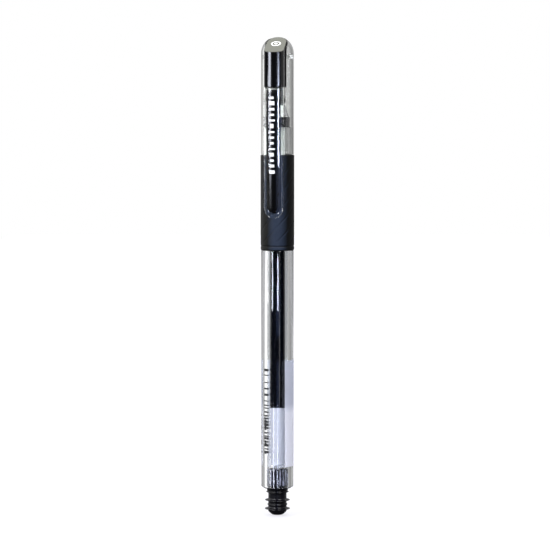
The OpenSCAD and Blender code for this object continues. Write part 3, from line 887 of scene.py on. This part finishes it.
white_print = print_ink("white_pad_print", "f2f2f4")
MARKS_SIDE = -0.45
MARKS_FOOT = -25.8
MARK_LIFT = 0.004
marks_y = -CLIP_FRONT - STRIP_PROUD - MARK_LIFT + CROWN_R
marks = grown("clip_marks", print_tree(white_print), {
    "Count": 14, "Length": 24.4, "Thinnest": 0.35, "Thickest": 1.3, "Narrowest": 1.0,
    "Widest": 1.9, "Wander": 0.1, "Seed": 5})
bmesh.ops.translate(marks, verts=marks.verts, vec=(MARKS_SIDE, 0, MARKS_FOOT))
for vert in marks.verts:
    vert.co.y += marks_y - math.sqrt(CROWN_R ** 2 - vert.co.x ** 2)
marks.transform(in_clip)
piece("clip_marks", marks, white_print, "clip")

# ---------------------------------------------------------------------------
# Print on the head: a plain ring with a dot in it, pad printed on the sloped
# face in the same white ink as the clip's bars.
# ---------------------------------------------------------------------------
FACET = math.radians(27.7)
HEAD_REAR = 1.5
HEAD_TOP = corners("cap_head")[1].z
MARK_DOWN = 4.6
MARK_T = 0.02
facet_at = (Matrix.Translation((0, HEAD_REAR, HEAD_TOP)) @ Matrix.Rotation(FACET, 4, "X")
            @ Matrix.Translation((0, -MARK_DOWN, MARK_LIFT)))


def flat_ring(outer, inner):
    """A printed ring or dot lying on the head's sloped face."""
    bm = turned([(outer, 0, 0), (outer, MARK_T, 0), (inner, MARK_T, 0), (inner, 0, 0)])
    bm.transform(facet_at)
    return bm


piece("head_ring_mark", flat_ring(1.5, 1.15), white_print, "cap")
piece("head_dot_mark", flat_ring(0.45, 0.0), white_print, "cap")

# ---------------------------------------------------------------------------
# Studio: a white table lit from below, white behind the pen, and the dark of
# the room before it, so that black pieces stay black and clear edges turn grey.
# ---------------------------------------------------------------------------
CAMERA_TURN = math.radians(10)
CAMERA_RISE = math.radians(4)
LOOK = (-math.sin(CAMERA_TURN), math.cos(CAMERA_TURN), 0)
RIGHT = (math.cos(CAMERA_TURN), math.sin(CAMERA_TURN), 0)
pen_low, pen_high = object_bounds()
pen_middle = Vector((0, 0, (pen_low.z + pen_high.z) / 2))

TABLE_W = 0.56
TABLE_FRONT = 0.15
TABLE_BACK = 1.7
TABLE_GAP = 0.0001
table_mesh = bpy.data.meshes.new("floor")
sheet = bmesh.new()
bmesh.ops.create_grid(sheet, x_segments=1, y_segments=1, size=0.5)
bmesh.ops.scale(sheet, verts=sheet.verts, vec=(TABLE_W, TABLE_FRONT + TABLE_BACK, 1))
bmesh.ops.translate(sheet, verts=sheet.verts, vec=(0, (TABLE_BACK - TABLE_FRONT) / 2, 0))
sheet.to_mesh(table_mesh)
sheet.free()
table_mesh.transform(Matrix.Translation((0, 0, pen_low.z - TABLE_GAP))
                     @ Matrix.Rotation(CAMERA_TURN, 4, "Z"))
table = bpy.data.objects.new("floor", table_mesh)
bpy.context.scene.collection.objects.link(table)
# The camera sees a lit white table. Other rays meet a dull one, near black before the pen and
# grey behind it, or the pen's black pieces would mirror white.
opal, tree, out = new_material("lit_opal_table")
place = add(tree, "ShaderNodeTexCoord")
grain = add(tree, "ShaderNodeTexNoise", {0: place.outputs["Object"], "Scale": 40.0, "Detail": 3.0})
tone = add(tree, "ShaderNodeMix", {0: grain.outputs[0], 6: linear("f0f0f4"), 7: linear("f4f4f8")},
           data_type="RGBA")
ahead = add(tree, "ShaderNodeVectorMath", {0: place.outputs["Object"], 1: LOOK},
            operation="DOT_PRODUCT")
behind = add(tree, "ShaderNodeMapRange", {0: ahead.outputs["Value"], 1: -0.01, 2: 0.05})
near = add(tree, "ShaderNodeVectorMath", {0: place.outputs["Object"]}, operation="LENGTH")
lit = add(tree, "ShaderNodeMapRange", {0: near.outputs["Value"], 1: 0.02, 2: 0.07, 3: 0.82, 4: 1.02})
unseen = add(tree, "ShaderNodeMix", {0: behind.outputs[0], 6: linear("1c1c20"), 7: linear("8a8a8e")},
             data_type="RGBA")
path = add(tree, "ShaderNodeLightPath")
paint = add(tree, "ShaderNodeMix",
            {0: path.outputs["Is Camera Ray"], 6: unseen.outputs[2], 7: linear("707076")},
            data_type="RGBA")
glow = add(tree, "ShaderNodeMath", {0: path.outputs["Is Camera Ray"], 1: lit.outputs[0]},
           operation="MULTIPLY")
face = add(tree, "ShaderNodeBsdfPrincipled", {
    "Base Color": paint.outputs[2], "Roughness": 0.6, "Specular IOR Level": 0.1,
    "Emission Color": tone.outputs[2], "Emission Strength": glow.outputs[0]})
tree.links.new(face.outputs[0], out.inputs["Surface"])
table_mesh.materials.append(opal)

world = bpy.data.worlds.new("studio")
bpy.context.scene.world = world
world.use_nodes = True
tree = world.node_tree
tree.nodes.clear()
place = add(tree, "ShaderNodeTexCoord")
ahead = add(tree, "ShaderNodeVectorMath", {0: place.outputs["Generated"], 1: LOOK},
            operation="DOT_PRODUCT")
# The ramp runs from straight behind the camera, at 0, to straight ahead of it, at 1.
spread = add(tree, "ShaderNodeMapRange", {0: ahead.outputs["Value"], 1: -1, 2: 1})
bands = add(tree, "ShaderNodeValToRGB", {0: spread.outputs[0]})
ramp = bands.color_ramp
ramp.elements[0].position, ramp.elements[0].color = 0.24, (0.005, 0.005, 0.007, 1)
ramp.elements[1].position, ramp.elements[1].color = 0.95, (0.22, 0.22, 0.22, 1)
for at, grey in ((0.33, 0.8), (0.68, 0.75), (0.86, 0.5), (0.92, 0.22)):
    ramp.elements.new(at).color = (grey, grey, grey, 1)
# A flag on the right takes that side down to a third.
beside = add(tree, "ShaderNodeVectorMath", {0: place.outputs["Generated"], 1: RIGHT},
             operation="DOT_PRODUCT")
flag = add(tree, "ShaderNodeMapRange",
           {0: beside.outputs["Value"], 1: 0.35, 2: 0.62, 3: 2.0, 4: 0.65})
room = add(tree, "ShaderNodeBackground", {0: bands.outputs[0], 1: flag.outputs[0]})
plain = add(tree, "ShaderNodeBackground", {0: (1, 1, 1, 1), 1: 1.0})
path = add(tree, "ShaderNodeLightPath")
both = add(tree, "ShaderNodeMixShader",
           {0: path.outputs["Is Camera Ray"], 1: room.outputs[0], 2: plain.outputs[0]})
surround = add(tree, "ShaderNodeOutputWorld")
tree.links.new(both.outputs[0], surround.inputs["Surface"])


def soft_box(name, turn, rise, distance, width, height, watts, colour="ffffff", lift=0.0):
    """A soft box that faces the pen, at this turn from the camera and this rise, then lifted."""
    lamp = bpy.data.lights.new(name, "AREA")
    lamp.shape = "RECTANGLE"
    lamp.size, lamp.size_y, lamp.energy = width, height, watts
    lamp.color = linear(colour)[:3]
    box = bpy.data.objects.new(name, lamp)
    bpy.context.scene.collection.objects.link(box)
    side, up = CAMERA_TURN + math.radians(turn), math.radians(rise)
    away = Vector((math.sin(side) * math.cos(up), -math.cos(side) * math.cos(up), math.sin(up)))
    box.location = pen_middle + away * distance + Vector((0, 0, lift))
    box.rotation_euler = away.to_track_quat("Z", "Y").to_euler()


# Two big boxes light the pen from above, and one from behind. The small and thin ones draw the
# bright streaks on its polished pieces, and the front fill lays a faint sheen on the grip.
soft_box("left_box", -47, 38, 0.8, 0.5, 0.5, 5.2)
soft_box("right_box", 29, 38, 0.8, 0.5, 0.5, 6.2)
soft_box("back_box", 170, 59, 0.9, 0.6, 0.6, 2.2, "f3f6e0")
soft_box("left_strip", -72, 0, 0.8, 0.14, 0.13, 0.4, lift=0.05)
soft_box("left_slot", -36, 0, 0.8, 0.14, 0.13, 1.1, "eef2ff", lift=0.05)
soft_box("right_strip", 17, 0, 0.8, 0.08, 0.6, 0.12)
soft_box("front_fill", 6, 0, 0.8, 0.4, 0.085, 0.06, "9cb8ff", lift=-0.016)
soft_box("front_slot", 2.8, 0, 0.8, 0.09, 0.096, 1.0, "dce6ff", lift=0.033)

LENS = 150
SENSOR = 36
# The share of the picture's height that the pen takes.
PEN_SHARE = 0.8709
camera_data = bpy.data.cameras.new("camera")
camera_data.lens = LENS
camera_data.sensor_width = SENSOR
camera_data.clip_start = 0.01
# The pen stands a hair off the picture's middle.
camera_data.shift_x = -0.0044
camera_data.shift_y = 0.0048
camera = bpy.data.objects.new("camera", camera_data)
bpy.context.scene.collection.objects.link(camera)
away = Vector((math.sin(CAMERA_TURN) * math.cos(CAMERA_RISE),
               -math.cos(CAMERA_TURN) * math.cos(CAMERA_RISE), math.sin(CAMERA_RISE)))
reach = (pen_high.z - pen_low.z) * LENS / SENSOR / PEN_SHARE
camera.location = pen_middle + away * reach
camera.rotation_euler = away.to_track_quat("Z", "Y").to_euler()
bpy.context.scene.camera = camera
bpy.context.scene.view_settings.view_transform = "Standard"
